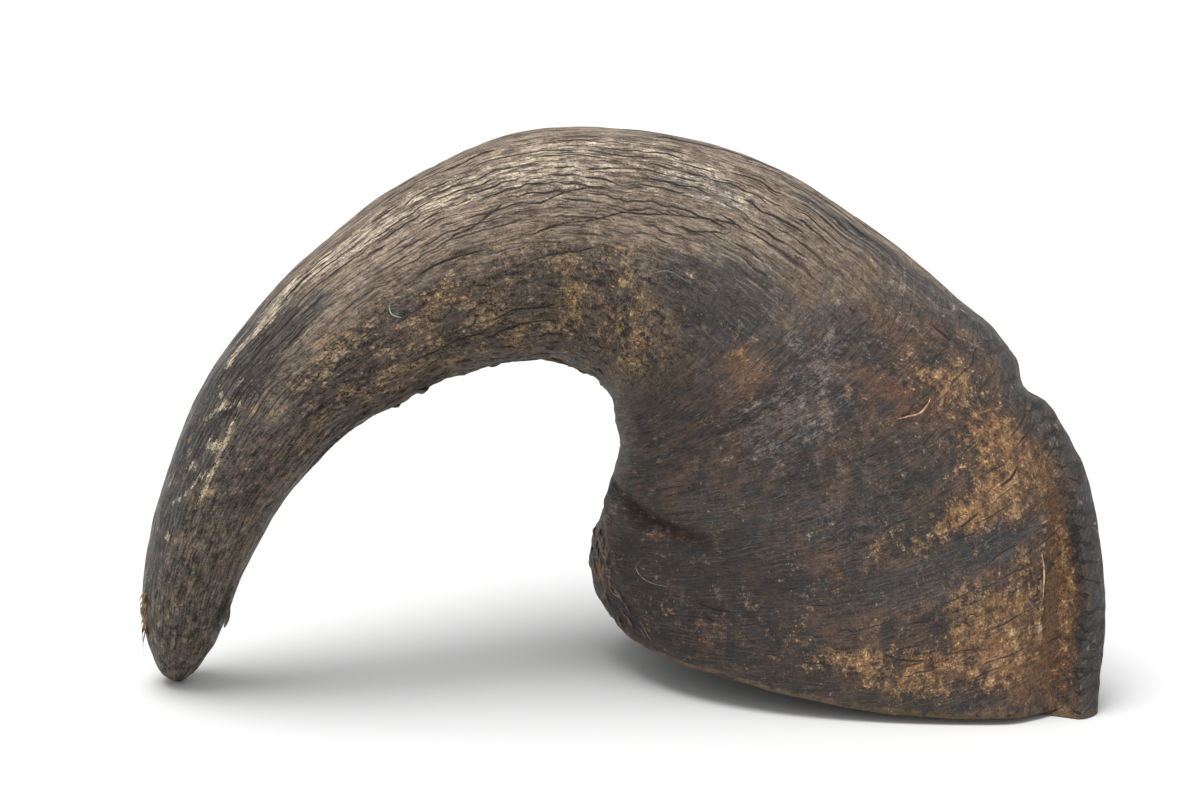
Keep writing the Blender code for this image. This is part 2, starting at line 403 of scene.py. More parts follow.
height -= CHIP_DEPTH * smooth_step(chip, 0.25, 0.6) - CHIP_GRIT * bumps(straight, 160) * chip
flake_gap, flake_near = stroke(RIDGE_FLAKE, 0.012)
flake_gap = flake_gap + LIFT_WOBBLE * bumps(straight, 70)
height += LIFT * hump(flake_gap, LIFT_WIDTH) * flake_near
print("the fold reaches down to", round(height.min() * 1000, 2), "mm")

# %% Long cracks, ridge and tip
CRACK_DEPTH, CRACK_WIDTH, CRACK_WOBBLE = 0.0006, 0.0013, 0.0008
CROSS_DEPTH = 0.00022
FLAKE_HEIGHT, CHIPPED = 0.0010, 0.0016
crack_lines = []
for number, path in enumerate(CRACKS):
    gap, near = stroke(path, NARROW)
    gap = gap + CRACK_WOBBLE * bumps(straight + number, 60)
    crack_lines.append((gap, near))
    height -= CRACK_DEPTH * hump(gap, CRACK_WIDTH) * near

ridge_share = smooth_step(np.abs(column_of - 24), 18.4, 20.2) * smooth_step(ring_of, 35.5, 37.5)
cross_place = np.stack((straight[..., 0] * 30, straight[..., 1] * 30, length_of * 210), axis=2)
cross_cracks = smooth_step(-np.abs(bumps(cross_place, 1)), -0.13, 0)
height -= CROSS_DEPTH * cross_cracks * ridge_share
tip_flake = patch(3.9, 26.9, 0.5, 1.0) + 0.6 * patch(4.5, 26.4, 0.4, 0.7)
tip_chip = patch(3.7, 43.2, 0.7, 0.8)
height += FLAKE_HEIGHT * tip_flake * (0.4 + 0.8 * bumps(straight, 220)) - CHIPPED * tip_chip
print("heights from", round(height.min() * 1000, 2), "to", round(height.max() * 1000, 2), "mm")

# %% [markdown]
# ## The hollow and the rim
# Inside, the bony core has left a pitted wall with shallow lengthwise channels, which show when the
# horn is turned over. The edge of the rim is worn ragged: its points move up here and there, by
# about 3 mm at most, and never down, because the horn stands on it.

# %% Moving the points
CHANNELS, PITS = 0.0006, 0.0004
FOOT = 0.012  # this far from the rim the relief starts to fade, so that the edge stays in place
WEAR, LEFT_WEAR = 0.0005, 0.0011
wall_height = CHANNELS * bumps(straight + 2, (110, 110, 10)) + PITS * bumps(straight + 4, 140)
foot = smooth_step(outside_knots[-1] - length_of, 0.0, FOOT)
outer_height = height * outer_share * np.where(ring_of < RIM, foot, 0)
height = (outer_height + wall_height * inside_share * foot) * smooth_step(ring_of, 0.0, 1.2)
points = surface + outward * height[..., None]
level_place = straight * (1, 1, 0)
wear = 0.5 + bumps(level_place, 55) + 0.5 * bumps(level_place, 190)
near_rim = smooth_step(length_of, outside_knots[-1] - FOOT, outside_knots[-1])
left_rim = patch(47.5, 27, 4, 6)
points[..., 2] += near_rim * np.clip(wear, 0, 2) * (WEAR + LEFT_WEAR * left_rim)
low, high = np.array(frame_low), np.array(frame_high)
points = np.clip(points, low, high)
print("points moved by up to", round(np.abs(points - surface).max() * 1000, 2), "mm")

# %% [markdown]
# ## Marks in colour
# Old horn carries many colours: bone-pale where the sun has bleached the top, slate where it is
# still smooth, ochre, amber and rust where it is stained and flakes, and char where it is dark and
# rough; the fold's painted shade joins the char later. A pale grey is painted sheen, laid where
# fibres catch the light. Each is laid on as soft patches, and the material breaks up their edges
# with noise. A patch is ring, column, rings wide, columns wide, strength.

# %% Patches of colour
MARKS = {
    "bleached": (
        (15.6, 42.4, 2.2, 1.5, 0.6), (18.0, 42.4, 2.6, 1.7, 0.8), (20.6, 42.4, 2.6, 2.0, 0.8),
        (24.2, 40.4, 2.8, 2.4, 0.6), (25.8, 43.4, 3.4, 2.6, 0.6), (28.6, 41.0, 1.8, 1.8, 0.5),
        (20.0, 5.4, 4.5, 2.6, 0.8), (26.0, 6.5, 3.5, 3.0, 0.6), (33.0, 43.0, 3.0, 2.0, 0.25),
    ),
    "ochre": (
        (5.0, 38.0, 1.0, 1.6, 0.45), (18.0, 34.0, 1.8, 1.4, 0.55), (20.4, 33.4, 1.6, 1.5, 0.65),
        (24.6, 32.2, 1.8, 1.5, 0.65), (27.2, 32.6, 1.4, 1.2, 0.45), (29.2, 31.0, 1.2, 0.9, 0.45),
        (32.8, 33.4, 0.9, 0.8, 0.6), (37.0, 40.2, 1.2, 1.1, 0.85), (36.9, 38.8, 0.7, 0.9, 0.5),
        (40.2, 40.9, 1.3, 1.1, 0.95), (41.5, 39.6, 0.9, 0.9, 0.85), (41.9, 37.9, 0.55, 1.4, 0.85),
        (42.5, 36.0, 0.5, 1.3, 0.6), (38.0, 36.6, 0.6, 0.5, 0.6), (45.2, 38.4, 1.2, 1.5, 0.95),
        (46.3, 35.6, 0.5, 1.6, 0.65), (44.8, 40.2, 1.5, 0.6, 0.65), (46.3, 39.5, 0.7, 0.8, 0.8),
        (46.9, 36.4, 0.8, 2.4, 0.7), (44.4, 38.8, 1.0, 1.2, 0.5), (45.6, 42.2, 2.2, 0.7, 0.85),
        (42.8, 42.4, 2.0, 0.8, 0.6), (44.0, 26.4, 1.5, 0.9, 1.0), (45.3, 29.0, 0.6, 0.9, 0.5),
        (43.9, 29.8, 0.8, 0.7, 0.35), (38.8, 40.2, 2.2, 2.2, 0.42), (41.2, 39.0, 1.8, 2.4, 0.32),
        (45.6, 39.2, 2.2, 2.6, 0.38), (46.4, 33.6, 0.9, 2.6, 0.42), (44.9, 33.6, 0.8, 0.8, 0.4),
        (24.0, 13.0, 3.0, 2.5, 0.5), (38.0, 9.0, 3.0, 3.0, 0.7), (44.0, 14.0, 1.6, 3.0, 0.6),
    ),
    "amber": (
        (40.2, 40.9, 1.0, 0.9, 0.7), (41.5, 39.6, 0.8, 0.9, 0.8), (41.9, 37.8, 0.5, 1.4, 0.8),
        (45.6, 42.2, 2.2, 0.8, 1.0), (42.8, 42.4, 2.2, 0.8, 0.8), (46.4, 40.3, 1.2, 1.3, 0.7),
        (36.9, 38.8, 0.9, 0.9, 0.5), (33.0, 33.4, 1.0, 1.0, 0.7), (43.2, 34.0, 0.9, 0.25, 0.6),
        (38.4, 39.6, 2.2, 2.4, 0.42), (45.4, 40.2, 2.4, 2.4, 0.7), (45.6, 37.6, 1.8, 2.6, 0.5),
        (39.8, 40.6, 2.0, 1.8, 0.4), (41.4, 41.6, 1.6, 1.2, 0.5), (34.4, 33.0, 1.0, 1.2, 0.5),
        (45.9, 30.6, 1.2, 2.4, 0.35), (42.0, 8.0, 2.5, 2.5, 0.7),
    ),
    "rust": (
        (36.5, 37.0, 1.1, 1.2, 0.9), (37.6, 37.9, 0.6, 0.7, 0.6), (45.4, 39.9, 1.2, 0.8, 0.6),
        (42.4, 42.5, 1.5, 0.8, 0.6), (45.9, 38.0, 1.0, 0.9, 0.5), (39.6, 28.0, 1.0, 0.4, 0.5),
        (41.4, 29.8, 0.4, 1.1, 0.6), (40.0, 14.0, 2.0, 2.0, 0.6),
    ),
    "slate": (
        (4.6, 42.6, 1.8, 2.4, 0.7), (6.6, 41.6, 1.8, 3.0, 0.7), (8.8, 40.0, 1.8, 3.0, 0.6),
        (13.5, 39.6, 1.8, 2.6, 0.8), (11.2, 39.6, 2.0, 2.4, 0.75), (9.0, 40.4, 2.0, 2.6, 0.8),
        (15.6, 38.8, 1.3, 1.6, 0.6), (6.4, 41.0, 1.4, 1.8, 0.5), (11.6, 34.6, 1.2, 1.2, 0.5),
        (8.2, 33.8, 1.2, 1.0, 0.4), (7.6, 42.5, 2.6, 2.8, 0.9), (10.2, 41.6, 2.2, 2.8, 0.9),
        (12.6, 41.4, 2.4, 3.2, 1.0), (33.4, 44.8, 2.0, 1.7, 0.9), (35.8, 45.3, 1.8, 1.9, 1.0),
        (38.6, 45.6, 2.0, 1.9, 1.0), (41.4, 45.9, 2.0, 1.7, 1.0), (44.2, 45.6, 2.0, 1.5, 1.0),
        (46.9, 45.4, 1.6, 1.5, 1.1), (14.4, 38.8, 1.8, 1.8, 0.6), (12.0, 45.5, 4.5, 2.5, 0.8),
        (28.6, 34.6, 1.7, 1.9, 0.4), (30.4, 35.6, 2.0, 2.4, 0.8), (31.8, 34.2, 1.8, 2.0, 0.8),
        (31.6, 44.0, 1.6, 1.2, 0.7), (21.8, 31.4, 0.8, 0.8, 0.5), (19.2, 32.0, 0.8, 0.8, 0.5),
        (41.9, 41.5, 0.4, 1.0, 1.0), (42.4, 39.9, 0.45, 1.2, 1.1), (42.9, 38.4, 0.5, 1.3, 1.1),
        (43.5, 36.8, 0.6, 1.4, 1.0), (44.1, 35.2, 0.6, 1.4, 0.7), (41.3, 41.9, 0.5, 0.8, 0.6),
        (41.0, 33.6, 1.6, 2.6, 0.5), (33.8, 31.6, 1.8, 2.2, 0.4), (40.4, 30.4, 1.2, 1.0, 0.5),
        (43.0, 28.6, 0.9, 0.6, 0.6), (11.0, 8.0, 4.0, 5.0, 0.6), (34.0, 15.0, 3.0, 4.0, 0.5),
    ),
    # Patches of painted sheen: a pale grey where the fibres catch the light.
    "painted_sheen": (
        (28.4, 40.9, 1.6, 1.5, 1.3), (37.2, 33.8, 1.6, 1.9, 0.55), (36.0, 32.6, 1.4, 1.6, 0.4),
        (34.6, 36.0, 1.6, 1.6, 0.4), (44.0, 39.0, 0.7, 0.9, 0.4), (46.6, 38.6, 0.7, 0.9, 0.6),
        (31.4, 40.4, 1.5, 1.8, 0.45), (33.4, 36.2, 2.4, 2.4, 0.3), (39.6, 26.9, 1.2, 0.4, 0.6),
        (37.0, 12.0, 2.0, 2.5, 0.6),
    ),
    # Dark rough patches; the fold's painted shade is added to these further on.
    "char_and_fold_shade": (
        (21.0, 26.0, 5.0, 2.2, 0.7), (14.5, 27.0, 4.0, 2.0, 0.45), (28.5, 27.2, 2.6, 1.8, 0.5),
        (38.0, 46.2, 2.6, 1.6, 0.8), (43.0, 46.6, 3.4, 1.8, 0.9), (47.2, 46.4, 1.8, 2.2, 1.0),
        (43.6, 31.0, 1.8, 3.0, 0.6), (41.0, 30.6, 1.8, 2.6, 0.5), (38.6, 28.6, 2.0, 2.2, 0.4),
        (45.2, 29.6, 1.4, 1.8, 0.45), (45.9, 28.8, 1.2, 1.8, 0.9), (30.8, 33.0, 2.2, 2.4, 0.55),
        (32.4, 35.4, 1.8, 2.2, 0.45), (44.4, 31.6, 1.6, 2.6, 0.5), (42.4, 30.2, 1.2, 1.4, 0.5),
        (42.4, 28.2, 1.2, 0.9, 0.7), (46.9, 32.0, 1.0, 3.6, 0.6), (47.7, 36.0, 0.5, 4.5, 0.6),
        (40.8, 28.2, 0.7, 0.7, 0.7), (37.4, 26.2, 1.4, 0.6, 0.7), (3.8, 43.0, 0.5, 0.6, 1.0),
        (3.9, 27.4, 0.7, 1.4, 1.0), (47.0, 20.0, 1.2, 6.0, 0.5),
    ),
}


def laid_on(spots):
    """Patches of one colour, each as strong as its row says, added up."""
    return sum(strength * patch(*spot) for *spot, strength in spots)


marks = {name: laid_on(spots) for name, spots in MARKS.items()}
print(sum(len(spots) for spots in MARKS.values()), "patches of", len(MARKS), "colours")

# %% [markdown]
# ## Scrapes, cuts and lifted edges
# On the leg the smooth skin is scraped down to pale fibres, along a few crooked strokes. The long
# cracks are handed to the material as one distance, measured from whichever crack is close by, and
# lifted edges get a pale line of their own. The fold's groove gets painted shade, added to the char.

# %% Scrapes
SCRAPES = (
    ((15.4, 41.6), (14.5, 41.8), (13.5, 42.0), (12.6, 42.0)),
    ((12.6, 42.0), (12.1, 39.0), (12.4, 36.2)),
    ((12.2, 37.4), (11.8, 39.9), (11.2, 41.3)),
    ((12.2, 37.0), (11.1, 36.4), (9.9, 36.0), (9.2, 35.8), (8.0, 35.9)),
    ((8.3, 40.2), (8.7, 38.6), (9.6, 37.0), (10.1, 36.0)),
)
SCRAPE_SPOTS = (
    (10.8, 37.6, 0.30, 0.9),
    (9.9, 39.2, 0.22, 0.8),
    (12.8, 38.6, 0.2, 0.6),
    (7.2, 38.8, 0.2, 0.8),
)
SCRAPE_WIDTHS = (0.0021, 0.0011, 0.0011, 0.0011, 0.0011)
SCRAPE_WOBBLE = 0.0009
marks["scrape"] = 0.9 * sum(patch(*spot) for spot in SCRAPE_SPOTS)
for path, width in zip(SCRAPES, SCRAPE_WIDTHS):
    gap, near = stroke(path, NARROW)
    gap = gap + SCRAPE_WOBBLE * bumps(straight, 130)
    marks["scrape"] += hump(gap, width) * near
print(len(SCRAPES), "scrapes and", len(SCRAPE_SPOTS), "scraped spots")

# %% Cuts, lifted edges and the fold's painted shade
NO_CUT = 0.02  # a distance at which no cut is drawn
FOLD_SHADE, FOLD_SHADE_WIDTH = 0.85, 0.0044
FLAKE_LINE, CHIP_LINE = 0.0011, 0.0012
cut_gap = np.full(ring_of.shape, NO_CUT)
cut_near = np.zeros(ring_of.shape)
for gap, near in crack_lines:
    cut_gap = np.where(near > cut_near, gap, cut_gap)
    cut_near = np.maximum(cut_near, near)
# Painted shade: the fold's groove is darkened along with the char patches.
marks["char_and_fold_shade"] = marks["char_and_fold_shade"] + FOLD_SHADE * hump(fold_gap, FOLD_SHADE_WIDTH) * fold_near
marks["lifted"] = hump(flake_gap, FLAKE_LINE) * flake_near + hump(chip_gap, CHIP_LINE) * chip_near
print("cuts pass near", int((cut_near > 0.5).sum()), "points")

# %% [markdown]
# ## Wrapping the sheet
# The mesh itself starts as a flat grid with a UV map. Its corners know their row and column from
# where they lie in the grid, so each one takes its point on the horn, and the marks go on as
# attributes. Merging then closes the seam along the outer edge and the poles at both ends.

# %% The flat grid, set in place
ROWS = len(ring_row) - 1
sheet = bmesh.new()
sheet.loops.layers.uv.new("OFBake")
bmesh.ops.create_grid(sheet, x_segments=ROUND, y_segments=ROWS, size=1, calc_uvs=True)
sheath_mesh = bpy.data.meshes.new("weathered_sheath")
sheet.to_mesh(sheath_mesh)
sheet.free()
flat = np.zeros(len(sheath_mesh.vertices) * 3, np.float32)
sheath_mesh.vertices.foreach_get("co", flat)
flat = flat.reshape(-1, 3)
column = np.rint((flat[:, 0] + 1) / 2 * ROUND).astype(int) % ROUND
row = np.rint((flat[:, 1] + 1) / 2 * ROWS).astype(int)
sheath_mesh.vertices.foreach_set("co", points[row, column].astype(np.float32).ravel())
print(len(sheath_mesh.vertices), "corners")


# %% Values for the material
def keep(name, values):
    """Store one number, or one vector, for each corner of the sheet."""
    kind = "FLOAT_VECTOR" if values.ndim == 3 else "FLOAT"
    attribute = sheath_mesh.attributes.new(name, kind, "POINT")
    field = "vector" if values.ndim == 3 else "value"
    attribute.data.foreach_set(field, values[row, column].astype(np.float32).ravel())


keep("straight", straight)
keep("growth", growth)
keep("base", base_share)
keep("hollow", inside_share)
keep("rim", near_rim)
keep("ridge", ridge_share)
keep("upper", upper_side * shaft_share)
keep("crumbly", np.clip(crumbly + inner_curve, 0, 1))
keep("leg", smooth_step(-ring_of, -18, -11))
keep("cut_gap", cut_gap)
keep("cut_near", cut_near)
for name, values in marks.items():
    keep(name, values)
print(len(sheath_mesh.attributes), "attributes")

# %% Closing the sheet
MERGED_AT = 0.000001  # corners that are nearer than this become one
wrap = bmesh.new()
wrap.from_mesh(sheath_mesh)
bmesh.ops.remove_doubles(wrap, verts=wrap.verts, dist=MERGED_AT)
bmesh.ops.recalc_face_normals(wrap, faces=wrap.faces)
wrap.to_mesh(sheath_mesh)
print("open edges:", sum(edge.is_boundary for edge in wrap.edges), "faces:", len(wrap.faces))
wrap.free()
sheath_mesh.shade_smooth()
sheath = bpy.data.objects.new("weathered_sheath", sheath_mesh)
bpy.context.scene.collection.objects.link(sheath)

# %% [markdown]
# ## A way to write materials as sums
# Shader nodes are arithmetic, and arithmetic reads best as arithmetic. `Wire` holds one socket, and
# Python's own signs then make the Math nodes. Every other node comes from `node`, which takes the
# node's kind, its settings and what goes into its sockets.

# %% The Wire class
class Wire:
    """One node socket that can be added, multiplied and so on."""

    tree = None

    def __init__(self, socket):
        self.socket = socket

    @classmethod
    def node(cls, kind, settings=None, sockets=None, out=0):
        made = cls.tree.nodes.new(kind)
        for name, value in (settings or {}).items():
            setattr(made, name, value)
        for name, value in (sockets or {}).items():
            if isinstance(value, Wire):
                cls.tree.links.new(value.socket, made.inputs[name])
            else:
                made.inputs[name].default_value = value
        return cls(made.outputs[out])

    @classmethod
    def maths(cls, operation, first, second=0.0):
        return cls.node("ShaderNodeMath", {"operation": operation}, {0: first, 1: second})

    def __add__(self, other):
        return Wire.maths("ADD", self, other)

    def __radd__(self, other):
        return Wire.maths("ADD", other, self)

    def __sub__(self, other):
        return Wire.maths("SUBTRACT", self, other)

    def __rsub__(self, other):
        return Wire.maths("SUBTRACT", other, self)

    def __mul__(self, other):
        return Wire.maths("MULTIPLY", self, other)

    def __rmul__(self, other):
        return Wire.maths("MULTIPLY", other, self)

    def __truediv__(self, other):
        return Wire.maths("DIVIDE", self, other)

    def __abs__(self):
        return Wire.maths("ABSOLUTE", self)


# %% [markdown]
# ## Short names for the nodes we use most
# `ramp` turns a value into a share, `speckle` and `cells` are two kinds of noise, and `stretched`
# draws a pattern out by squeezing the place it is read at. Colours are mixed with `blend` and made
# lighter or darker with `lit`. A Mix node has sockets for numbers, vectors and colours under the
# same names, so `blend` asks for the three of the colours by their number.

# %% Reading and noise
def ramp(value, low, high):
    """0 at low, 1 at high and a soft slope between."""
    settings = {"interpolation_type": "SMOOTHSTEP"}
    return Wire.node("ShaderNodeMapRange", settings, {"Value": value, "From Min": low, "From Max": high})


def read(name, vector=False):
    return Wire.node("ShaderNodeAttribute", {"attribute_name": name}, out=1 if vector else 2)


def stretched(place, scale):
    return Wire.node("ShaderNodeVectorMath", {"operation": "MULTIPLY"}, {0: place, 1: scale})


def speckle(place, scale, detail, roughness, out=0):
    """Noise between 0 and 1, or with out=1 three such noises as a vector."""
    sockets = {"Vector": place, "Scale": scale, "Detail": detail, "Roughness": roughness}
    return Wire.node("ShaderNodeTexNoise", {}, sockets, out)


def cells(place, scale, feature="DISTANCE_TO_EDGE"):
    return Wire.node("ShaderNodeTexVoronoi", {"feature": feature}, {"Vector": place, "Scale": scale})


# %% Colours
UNDER, OVER, MIXED = 6, 7, 2  # numbers of a Mix node's colour sockets


def paint(red, green, blue):
    """A colour on the 0 to 255 scale of a paint chart, turned into the light that it gives back."""
    light = [((part / 255 + 0.055) / 1.055) ** 2.4 for part in (red, green, blue)]
    return (*light, 1.0)


def blend(under, over, share):
    """The colour under, covered by the colour over where the share is 1."""
    sockets = {0: share, UNDER: under, OVER: over}
    return Wire.node("ShaderNodeMix", {"data_type": "RGBA"}, sockets, out=MIXED)


def lit(colour, amount):
    """A colour made lighter or darker by a number near 1."""
    return Wire.node("ShaderNodeVectorMath", {"operation": "SCALE"}, {0: colour, "Scale": amount})


print("mid grey of a paint chart gives back", round(paint(119, 119, 119)[0], 3))


# %% A new material
def new_material(name):
    material = bpy.data.materials.new(name)
    material.use_nodes = True
    Wire.tree = material.node_tree
    return material, material.node_tree.nodes["Principled BSDF"]


def plug(shader, name, wire):
    Wire.tree.links.new(wire.socket, shader.inputs[name])


# %% [markdown]
# ## The horn's material
# Two grains cross-fade: along the shaft the fibres run lengthwise, on the base they follow the
# growth lines. Both are noise that is squeezed one way and drawn out the other. The same noise
# breaks up the marks, tints the fibres and lifts the surface, so that colour, gloss and relief all
# agree, as they do on a real horn.

# %% Where the material is read
horn, shader = new_material("old_horn")
place = read("straight", vector=True)
straight_x, straight_y, straight_z = (
    Wire.node("ShaderNodeSeparateXYZ", {}, {"Vector": place}, out=side) for side in range(3)
)
grown = read("growth")
grown_place = Wire.node("ShaderNodeCombineXYZ", {}, {"X": straight_x, "Y": straight_y, "Z": grown})
on_base = read("base")
on_leg = read("leg")
print(len(horn.node_tree.nodes), "nodes so far")


# %% Noise fields
def two_grains(scale, draw_out, base_draw_out, detail, roughness):
    """Noise drawn out along the shaft's fibres, and along the growth lines on the base."""
    on_shaft = stretched(place, (1.0, 1.0, draw_out))
    on_rings = stretched(grown_place, (base_draw_out, base_draw_out, 1.0))
    lengthwise = speckle(on_shaft, scale, detail, roughness)
    ringwise = speckle(on_rings, scale, detail, roughness)
    return lengthwise + (ringwise - lengthwise) * on_base


line = ramp(two_grains(900, draw_out=0.06, base_draw_out=0.12, detail=3.0, roughness=0.7), 0.36, 0.64)
streak = ramp(two_grains(280, draw_out=0.10, base_draw_out=0.22, detail=5.0, roughness=0.72), 0.34, 0.66)
drift = ramp(two_grains(70, draw_out=0.25, base_draw_out=0.45, detail=6.0, roughness=0.7), 0.36, 0.64)
cloud = ramp(speckle(place, 24, detail=6.0, roughness=0.68), 0.38, 0.62)
blotch = speckle(stretched(place, (1.0, 1.0, 0.7)), 95, detail=7.0, roughness=0.78)
crumb = speckle(place, 260, detail=6.0, roughness=0.8)
grit = speckle(place, 1100, detail=2.0, roughness=0.8)
tick = speckle(stretched(place, (1.0, 1.0, 0.28)), 420, detail=4.0, roughness=0.75)
ringed = speckle(stretched(grown_place, (0.35, 0.35, 1.0)), 130, detail=6.0, roughness=0.72)
smoky = speckle(place, 60, detail=7.0, roughness=0.72)
stray = speckle(stretched(place, (1.0, 1.0, 0.6)), 75, detail=7.0, roughness=0.8)
broken = (blotch - 0.5) * 2.6 + (streak - 0.5) * 0.3 + (grit - 0.5) * 0.8 + (crumb - 0.5) * 2.2
print(len(horn.node_tree.nodes), "nodes so far")

# %% The paints
UMBER = paint(90, 73, 60)
TAUPE = paint(164, 146, 126)
MUD = paint(112, 92, 73)
PEAT = paint(84, 75, 64)
DUN = paint(64, 61, 56)
FAWN = paint(128, 113, 95)
CHARCOAL = paint(56, 53, 49)
MAROON = paint(106, 81, 63)
ASH = paint(122, 108, 96)
BLEACHED = paint(194, 180, 157)
OCHRE = paint(166, 137, 95)
AMBER = paint(136, 95, 58)
GOLD = paint(172, 131, 80)
RUST = paint(106, 70, 50)
SLATE = paint(58, 57, 58)
# A pale grey for the painted sheen.
PAINTED_SHEEN_GREY = paint(124, 117, 113)
# The dark of char, also used for the painted shade in the fold.
CHAR_AND_SHADE = paint(42, 38, 35)
CRACK = paint(26, 19, 15)
CREAM = paint(200, 184, 154)
HOLLOW = paint(96, 78, 60)
print("paints from", round(CRACK[0], 3), "to", round(CREAM[0], 3))

# %% [markdown]
# ## Shaft, leg and base
# The shaft is umber under worn taupe fibres. Its leg, which runs down to the tip, is duller and
# speckled. The flaking band along its lower side is a crumble of peat, mud, ochre and cream, and
# the base is charcoal and maroon with a silky grey where its fibres lie smooth.

# %% Shaft and leg
shaft_colour = blend(UMBER, TAUPE, drift * 0.35 + streak * 0.35 + line * 0.3)
dull = cloud * 0.25 + drift * 0.25 + streak * 0.15 + line * 0.15
leg_colour = blend(DUN, FAWN, dull + ramp(crumb, 0.4, 0.6) * 0.2)
rusty = ramp(blotch * 0.6 + cloud * 0.1 + crumb * 0.4, 0.52, 0.66)
leg_colour = blend(leg_colour, RUST, rusty * 0.45)
leg_colour = blend(leg_colour, OCHRE, ramp(crumb * 0.55 + smoky * 0.45, 0.53, 0.61) * 0.6)
shaft_colour = blend(shaft_colour, leg_colour, on_leg)
print(len(horn.node_tree.nodes), "nodes so far")

# %% Flaking band and base
crumbled = ramp(read("crumbly") + (blotch - 0.5) * 1.8, 0.2, 0.8)
mottled = blend(PEAT, MUD, cloud * 0.6 + streak * 0.4)
mottled = blend(mottled, DUN, ramp(blotch, 0.52, 0.43) * 0.8)
flaky = ramp(crumb * 0.3 + blotch * 0.65 + cloud * 0.06, 0.505, 0.57)
mottled = blend(mottled, OCHRE, flaky * 0.95)
mottled = blend(mottled, CREAM, ramp(crumb * 0.45 + blotch * 0.55, 0.54, 0.61) * 0.85)
mottled = blend(mottled, RUST, ramp(crumb * 0.5 - blotch * 0.5 + 0.5, 0.53, 0.62) * 0.5)
shaft_colour = blend(shaft_colour, mottled, crumbled * 0.85)
base_colour = blend(CHARCOAL, MAROON, ramp(ringed * 0.3 + smoky * 0.7, 0.43, 0.60))
silky = ramp(blotch * 0.4 + ringed * 0.3 + crumb * 0.3, 0.50, 0.64)
base_colour = blend(base_colour, ASH, silky * (0.25 + line * 0.3))
colour = blend(shaft_colour, base_colour, on_base)
print(len(horn.node_tree.nodes), "nodes so far")

# %% [markdown]
# ## Laying on the marks
# Each mark is the sum of its soft patches with noise added, run through a ramp: a narrow ramp gives
# a patch with crisp, ragged edges, and a wide one a stain that fades away.

# %% Smooth, dark and bleached skin, painted sheen and the fold's painted shade
def mark(name, low, high):
    """A painted mark with its edge broken up by noise."""
    return ramp(read(name) + broken, low, high)


colour = blend(colour, SLATE, mark("slate", 0.30, 0.80) * 0.8)
# Char patches, together with the painted shade in the fold.
colour = blend(colour, CHAR_AND_SHADE, mark("char_and_fold_shade", 0.25, 1.0) * 0.8)
# Painted sheen: pale grey laid where the fibres catch the light.
colour = blend(colour, PAINTED_SHEEN_GREY, mark("painted_sheen", 0.3, 1.0) * (0.3 + 0.6 * line))
colour = blend(colour, RUST, mark("rust", 0.25, 0.9) * 0.75)
colour = blend(colour, AMBER, mark("amber", 0.25, 1.0) * 0.7)
faded = mark("bleached", 0.3, 1.1) * ramp(streak * 0.5 + line * 0.5, 0.2, 0.75)
colour = blend(colour, BLEACHED, faded)
print(len(horn.node_tree.nodes), "nodes so far")

# %% Ochre and scrapes
stained = blend(UMBER, AMBER, ramp(smoky * 0.6 + ringed * 0.4, 0.38, 0.55))
stained = blend(stained, GOLD, ramp(blotch * 0.4 + crumb * 0.5 + streak * 0.06, 0.43, 0.54))
stained = blend(stained, CREAM, ramp(crumb * 0.6 + grit * 0.4, 0.55, 0.63) * 0.7)
colour = blend(colour, stained, mark("ochre", 0.35, 1.35) * 0.8)
colour = blend(colour, OCHRE, ramp(stray, 0.56, 0.70) * 0.35)
scuff = read("scrape") * 1.2 + (grit - 0.5) * 1.6 + (line - 0.5) * 0.5
colour = blend(colour, CREAM, ramp(scuff, 0.5, 0.9) * 0.75)
colour = blend(colour, CREAM, ramp(read("lifted") + (line - 0.5), 0.6, 0.95) * 0.6)
print(len(horn.node_tree.nodes), "nodes so far")

# %% [markdown]
# ## Cracks that run with the grain
# Old horn splits between its fibres. `splits` rules lines side by side and gives each line its own
# dashes, by looking up noise with the line's number. Noise bends the lines too, before they are
# ruled. Ruled round the shaft they run lengthwise; ruled along the growth they follow the rings of
# the base.

# %% Ruled and dashed lines
def splits(across, along, seed, dash, grows, thickness):
    """Dashes on lines one unit apart. A dash grows to its full thickness, a share of a unit to each
    side of its line, between the two values of noise in grows."""
    number = Wire.maths("FLOOR", across)
    from_line = abs(across - number - 0.5)
    where = Wire.node("ShaderNodeCombineXYZ", {}, {"X": number * 3.71, "Y": along * dash, "Z": seed})
    share = ramp(speckle(where, 1.0, detail=2.0, roughness=0.5), *grows)
    return ramp(share * thickness - from_line, 0.0, 0.05)


around = Wire.maths("ARCTAN2", straight_y, straight_x) / math.tau
wobble = speckle(stretched(place, (0.3, 0.3, 1.0)), 24, detail=3.0, roughness=0.6) - 0.5
ripple = speckle(stretched(place, (0.5, 0.5, 1.0)), 160, detail=3.0, roughness=0.6) - 0.5
bend = wobble * 4 + ripple * 0.5
print(len(horn.node_tree.nodes), "nodes so far")

# %% Splits along the shaft
LONG_LINES, FINE_LINES, SHORT_LINES, PALE_LINES = 84, 200, 64, 150
long_across = around * LONG_LINES + bend
fine_across = around * FINE_LINES + bend * 2.6
short_across = around * SHORT_LINES + bend * 1.6 + (crumb - 0.5) * 2
pale_across = around * PALE_LINES + bend * 2
long_splits = splits(long_across, straight_z, 0.0, 34, (0.43, 0.56), 0.15)
fine_splits = splits(fine_across, straight_z, 7.0, 90, (0.48, 0.62), 0.18)
short_splits = splits(short_across, straight_z, 17.0, 62, (0.50, 0.62), 0.16)
pale_splits = splits(pale_across, straight_z, 11.0, 45, (0.47, 0.60), 0.2)
split_share = (read("upper") * 0.75 + 0.25 + on_leg * 0.4) * (1 - on_base)
print(len(horn.node_tree.nodes), "nodes so far")

